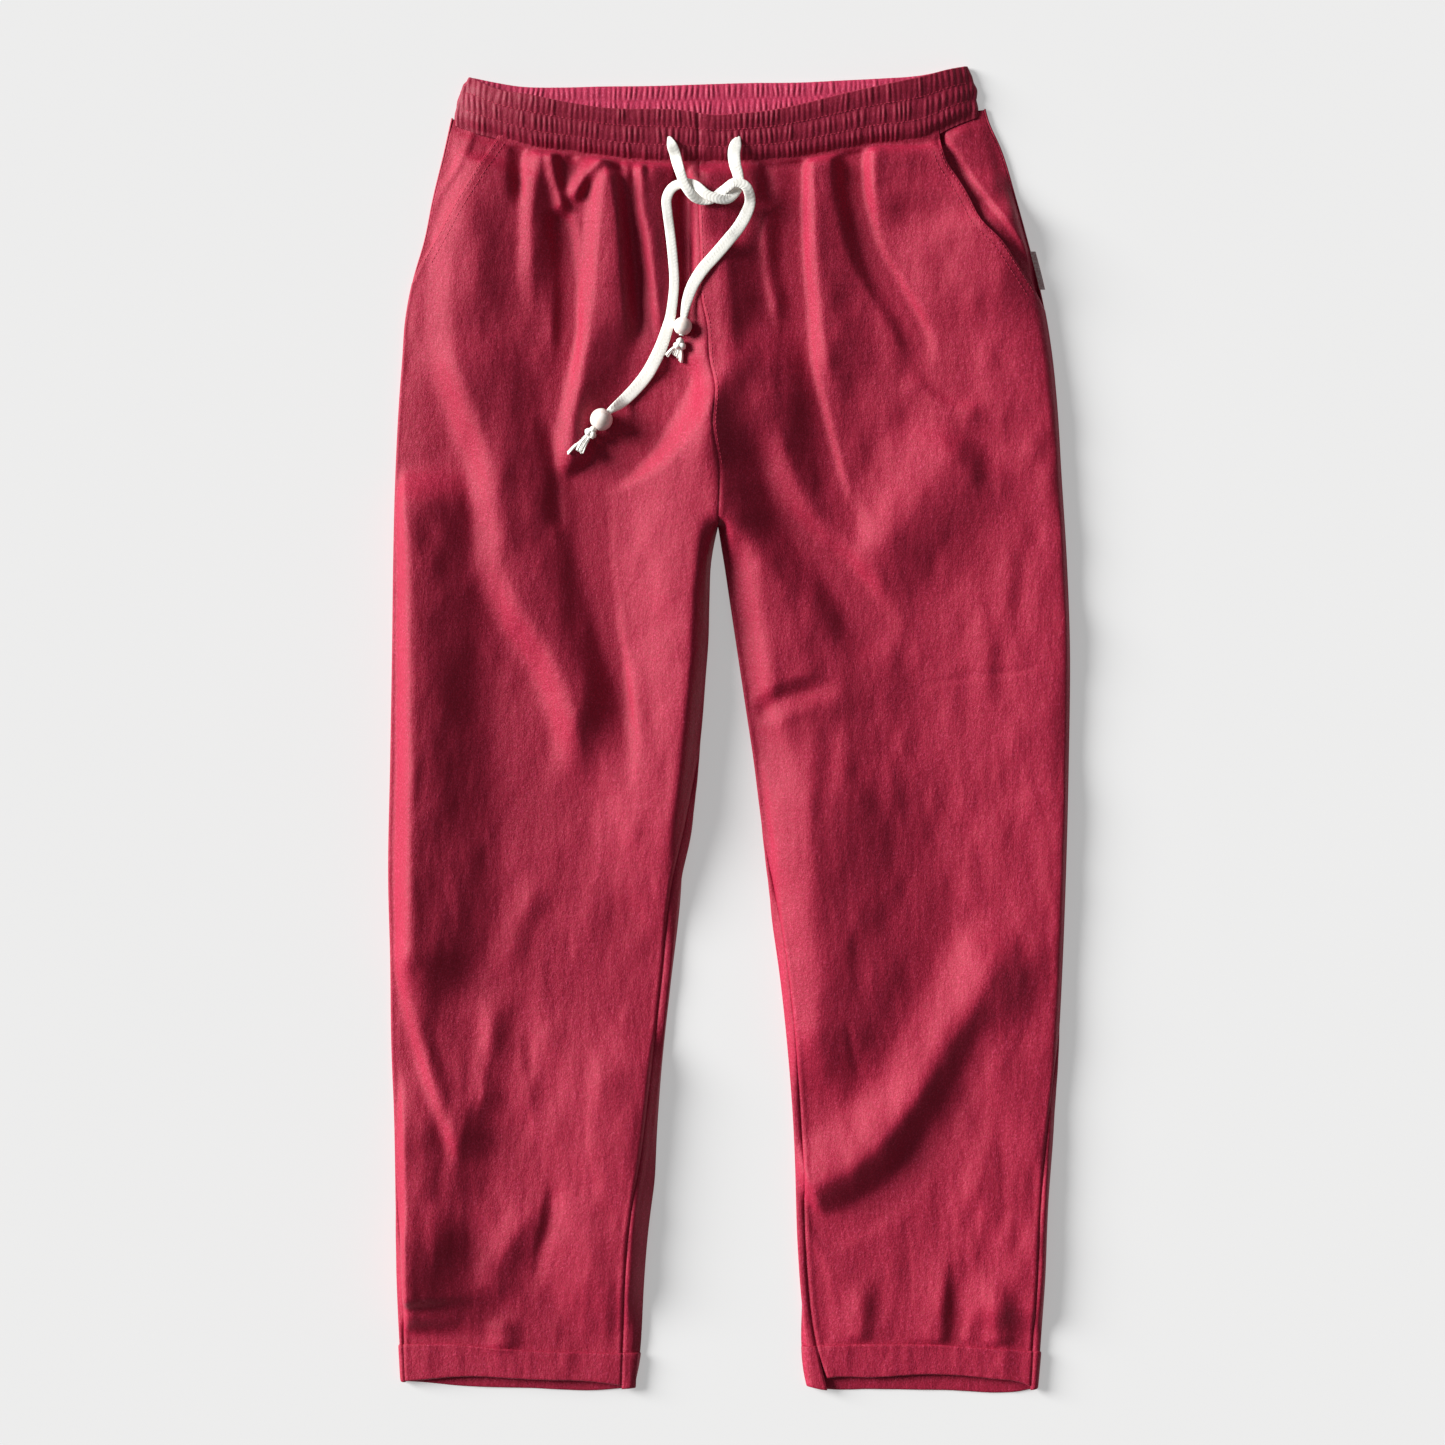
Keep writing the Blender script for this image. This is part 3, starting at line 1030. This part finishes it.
IVORY = cotton("ivory_cotton", (0.99, 0.98, 0.92), (0.90, 0.88, 0.81), 900, 0.0002)
WOOD = Nodes("pale_wood")
grain = WOOD.noise((160, 160, 900), 3.0, 0.5)
WOOD.join(WOOD.mix(WOOD.spread(grain, 0.35, 0.65, 0.0, 1.0), (0.80, 0.68, 0.61, 1),
                   (0.95, 0.87, 0.83, 1)), WOOD.shader.inputs["Base Color"])
WOOD.shader.inputs["Roughness"].default_value = 0.42
WOOD.join(WOOD.bump(grain, 0.0003, 0.3), WOOD.shader.inputs["Normal"])


def join_tubes(name, tubes, sides, mat):
    """One piece from many thin tubes, each a path and a radius for each of its points."""
    points = []
    faces = []
    turn = np.arange(sides) * 2.0 * math.pi / sides
    for path, radius in tubes:
        way = np.gradient(path, axis=0)
        way = way / np.maximum(np.linalg.norm(way, axis=1, keepdims=True), 1e-9)
        helper = np.where(np.abs(way[:, 2:3]) > 0.9, (1.0, 0.0, 0.0), (0.0, 0.0, 1.0))
        aside = np.cross(way, helper)
        aside = aside / np.linalg.norm(aside, axis=1, keepdims=True)
        up = np.cross(aside, way)
        start = sum(len(p) for p in points)
        ring = (path[:, None, :] + np.asarray(radius)[:, None, None]
                * (np.cos(turn)[None, :, None] * aside[:, None, :]
                   + np.sin(turn)[None, :, None] * up[:, None, :]))
        points.append(ring.reshape(-1, 3))
        for r in range(len(path) - 1):
            for k in range(sides):
                m = (k + 1) % sides
                a = start + r * sides
                faces.append((a + k, a + m, a + sides + m, a + sides + k))
        faces.append(tuple(start + k for k in range(sides))[::-1])
        last = start + (len(path) - 1) * sides
        faces.append(tuple(last + k for k in range(sides)))
    mesh = bpy.data.meshes.new(name)
    mesh.from_pydata([tuple(p) for p in np.vstack(points) * 0.001], [], faces)
    mesh.update()
    return add_piece(name, mesh, mat)


def bead_shape(name, at, way, radius):
    """A turned wooden ball with a bore along the cord and softly rounded rims."""
    bore = 2.3
    top = math.asin(bore / radius)
    angles = np.linspace(top, math.pi - top, 40)
    reach = radius * np.sin(angles)
    height = -radius * np.cos(angles)
    height = height * (1.0 - 0.06 * bump(np.minimum(angles - top, math.pi - top - angles),
                                         0.12))
    reach = np.concatenate([reach, [bore - 0.25, bore - 0.3, bore - 0.25], reach[:1]])
    height = np.concatenate([height, [height[-1] - 0.7, 0.0, height[0] + 0.7], height[:1]])
    aside = np.cross(way, (0.0, 0.0, 1.0))
    aside = aside / np.linalg.norm(aside)
    up = np.cross(aside, way)
    turn = np.linspace(0.0, 2.0 * math.pi, 49)
    out = np.cos(turn)[:, None] * aside + np.sin(turn)[:, None] * up
    points = at + reach[None, :, None] * out[:, None, :] + height[None, :, None] * way
    return grid_mesh(name, points, WOOD.material)


def end_shape(name, at, way, radius, tip):
    """An overhand knot as a wrapped strand, and a brush of frayed yarns below it."""
    aside = np.cross(way, (0.0, 0.0, 1.0))
    aside = aside / np.linalg.norm(aside)
    up = np.cross(aside, way)
    t = np.linspace(0.0, 2.0 * math.pi, 60)
    knot = np.stack([np.sin(t) + 0.9 * np.sin(2 * t), np.cos(t) - 0.9 * np.cos(2 * t),
                     -0.9 * np.sin(3 * t)], -1)
    size = 1.5 * radius / 5.2
    path = at + size * (knot[:, :1] * aside + knot[:, 1:2] * way + knot[:, 2:3] * up)
    tubes = [(path, np.full(60, 2.5 * radius / 5.2))]
    rng = np.random.default_rng(len(name) * 7 + 3)
    s = np.linspace(0.0, 1.0, 9)[:, None]
    away = np.array([tip[0], tip[1], 0.0]) - np.array([at[0], at[1], 0.0])
    length = float(np.linalg.norm(away))
    away = away / length
    beside = np.array([-away[1], away[0], 0.0])
    floor = np.array([ground(at[0] + away[0] * length * k, at[1] + away[1] * length * k)
                      for k in s[:, 0] * 1.15])
    locks = rng.normal(0.0, 1.0, 6)
    for number in range(90):
        lock = locks[number % 6]
        spread = lock + 0.22 * rng.normal(0.0, 1.0)
        high = rng.random()
        reach = length * (0.95 + 0.12 * lock * lock - 0.1 * rng.random())
        curl = 1.2 * math.sin(5.0 * lock) + 0.2 * rng.normal(0.0, 1.0)
        start = at + 1.6 * spread * 0.4 * beside
        along_way = start + away * reach * s + beside * (spread * 2.9 * s ** 1.3
                                                         + curl * np.sin(3 * s))
        rest = floor[:, None] + 0.7 + 3.2 * high * (1 - 0.3 * s)
        height = at[2] * (1 - smooth(s * 1.6)) + rest * smooth(s * 1.6)
        line = np.column_stack([along_way[:, :2], height[:, 0]])
        tubes.append((line, np.linspace(0.6, 0.42, 9)))
    return join_tubes(name, tubes, 6, IVORY)


for word, table, bead_grid, end_grid, radius, tip_grid in CORD_RULE:
    bead_x = (bead_grid[0] - MIDDLE_X) * GRID
    bead_y = (MIDDLE_Y - bead_grid[1]) * GRID
    bead_z = dome_height(bead_x, bead_y, radius) + 0.2
    centre, width, thick, s = cord_line(table, (bead_x, bead_y), bead_z)
    strand, path, way = braid("drawcord_" + word + "_braid", centre, width, thick, s, IVORY)
    heading = np.array([end_grid[0] - bead_grid[0], bead_grid[1] - end_grid[1], 0.0])
    heading = heading / np.linalg.norm(heading)
    bead = bead_shape("bead_" + word + "_wood", np.array([bead_x, bead_y, bead_z]), heading,
                      radius)
    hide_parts("bead_" + word)
    end_x = (end_grid[0] - MIDDLE_X) * GRID
    end_y = (MIDDLE_Y - end_grid[1]) * GRID
    end_z = dome_height(end_x, end_y, 5.2, 0.9) + 0.2
    tip = ((tip_grid[0] - MIDDLE_X) * GRID, (MIDDLE_Y - tip_grid[1]) * GRID)
    end = end_shape("cord_end_" + word + "_tuft", np.array([end_x, end_y, end_z]), heading,
                    5.2, tip)
    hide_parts("cord_end_" + word)
    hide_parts("drawcord_" + word)

# Blank woven tab in the side seam: a folded ribbon with a fine ribbed weave.
tab_node = Nodes("pale_ribbon")
ribs = tab_node.wave(700.0, "Y", 0.6)
speck = tab_node.noise((700, 700, 700), 3.0, 0.6)
tab_node.join(tab_node.mix(tab_node.spread(speck, 0.35, 0.65, 0.0, 1.0),
                           (0.62, 0.36, 0.38, 1), (0.86, 0.72, 0.72, 1)),
              tab_node.shader.inputs["Base Color"])
tab_node.shader.inputs["Roughness"].default_value = 0.75
tab_node.join(tab_node.bump(ribs, 0.0002, 0.6), tab_node.shader.inputs["Normal"])
rows = np.linspace(252.0, 290.0, 60)
edge_x = (along(SIDE_RIGHT, rows) - MIDDLE_X) * GRID
edge_y = (MIDDLE_Y - rows) * GRID
turn = np.linspace(-QUARTER, QUARTER, 9)
profile_x = np.concatenate([[-1.2, 0.6], 2.6 + 0.5 * np.cos(turn), [0.6, -1.2]])
profile_z = np.concatenate([[-0.5, -0.5], 0.5 * np.sin(turn), [0.5, 0.5]])
points = np.stack([edge_x[:, None] + profile_x, np.repeat(edge_y[:, None], 13, 1),
                   np.repeat((EDGE_RADIUS + profile_z)[None, :], 60, 0)], -1)
tab = grid_mesh("side_tab_ribbon", points, tab_node.material)
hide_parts("side_tab")


# Topstitching: short stitches laid on the cloth beside the pocket edges, the centre front
# seam, the waistband's channels and the cuffs, in thread a little lighter than the cloth.
THREAD = linen("crimson_thread", (0.50, 0.035, 0.085), (0.7, 0.12, 0.18),
               (0.34, 0.014, 0.04), 0.3)


def stitches(line, length, gap, radius, lift=0.15):
    """Short tubes along a line of grid points, each dipping into the cloth at its ends."""
    fine = curve(np.array(line, float), 12)
    flat = np.stack([(fine[:, 0] - MIDDLE_X) * GRID, (MIDDLE_Y - fine[:, 1]) * GRID], -1)
    passed = np.concatenate([[0.0], np.cumsum(np.hypot(*np.diff(flat, axis=0).T))])
    tubes = []
    for start in np.arange(0.5, passed[-1] - length, length + gap):
        s = start + length * np.array([0.0, 0.22, 0.5, 0.78, 1.0])
        x = np.interp(s, passed, flat[:, 0])
        y = np.interp(s, passed, flat[:, 1])
        z = np.array([ground(a, b) for a, b in zip(x, y)])
        z = z + np.array([-0.25, 0.6, 1.0, 0.6, -0.25]) * lift
        tubes.append((np.column_stack([x, y, z]), radius * np.array([0.6, 1, 1.1, 1, 0.6])))
    return tubes


tubes = []
for table, hand in ((POCKET_LEFT, 1), (POCKET_RIGHT, -1)):
    for offset in (2.2, 9.0):
        line = [(x + hand * offset, y + 0.4 * offset) for y, x in table[1:-1]]
        tubes.extend(stitches(line, 2.4, 0.9, 0.24))
tubes.extend(stitches([(x + 3.0, y) for y, x in FRONT_SEAM[1:-1]], 2.4, 0.9, 0.24))
for row in (0.33, 0.675):
    line = []
    for gx in np.arange(466.0, 972.0, 8.0):
        low = along(WAIST_FRONT, gx)
        line.append((gx, low + (along(BAND_TOP_FRONT, gx) - low) * row))
    tubes.extend(stitches(line, 2.2, 0.8, 0.22))
join_tubes("topstitching", tubes, 5, THREAD)

# Floor and light: a pale table, a soft key from the left just above the cloth, weak fill
floor_node = Nodes("pale_floor")
speck = floor_node.noise((3, 3, 3), 2.0, 0.5)
floor_node.join(floor_node.mix(speck, (0.47, 0.47, 0.47, 1), (0.48, 0.48, 0.48, 1)),
                floor_node.shader.inputs["Base Color"])
floor_node.shader.inputs["Roughness"].default_value = 0.9
floor_node.shader.inputs["Specular IOR Level"].default_value = 0.0
floor_node.shader.inputs["Emission Color"].default_value = (1.0, 1.0, 1.0, 1.0)
floor_node.shader.inputs["Emission Strength"].default_value = 0.365
floor_mesh = bpy.data.meshes.new("floor")
floor_mesh.from_pydata([(-8, -8, -0.0002), (8, -8, -0.0002), (8, 8, -0.0002),
                        (-8, 8, -0.0002)], [], [(0, 1, 2, 3)])
floor_mesh.materials.append(floor_node.material)
floor = bpy.data.objects.new("floor", floor_mesh)
bpy.context.scene.collection.objects.link(floor)

key_data = bpy.data.lights.new("key", "SUN")
key_data.energy = 7.5
key_data.angle = math.radians(28.0)
key_data.color = (1.0, 0.995, 0.99)
key = bpy.data.objects.new("key", key_data)
azimuth = math.radians(160.0)
height = math.radians(21.0)
toward = Vector((math.cos(height) * math.cos(azimuth), math.cos(height) * math.sin(azimuth),
                 math.sin(height)))
key.rotation_euler = toward.to_track_quat("Z", "Y").to_euler()
bpy.context.scene.collection.objects.link(key)

world = bpy.data.worlds.new("studio")
bpy.context.scene.world = world
world.use_nodes = True
background = world.node_tree.nodes["Background"]
background.inputs["Color"].default_value = (1.0, 1.0, 1.0, 1.0)
background.inputs["Strength"].default_value = 0.16
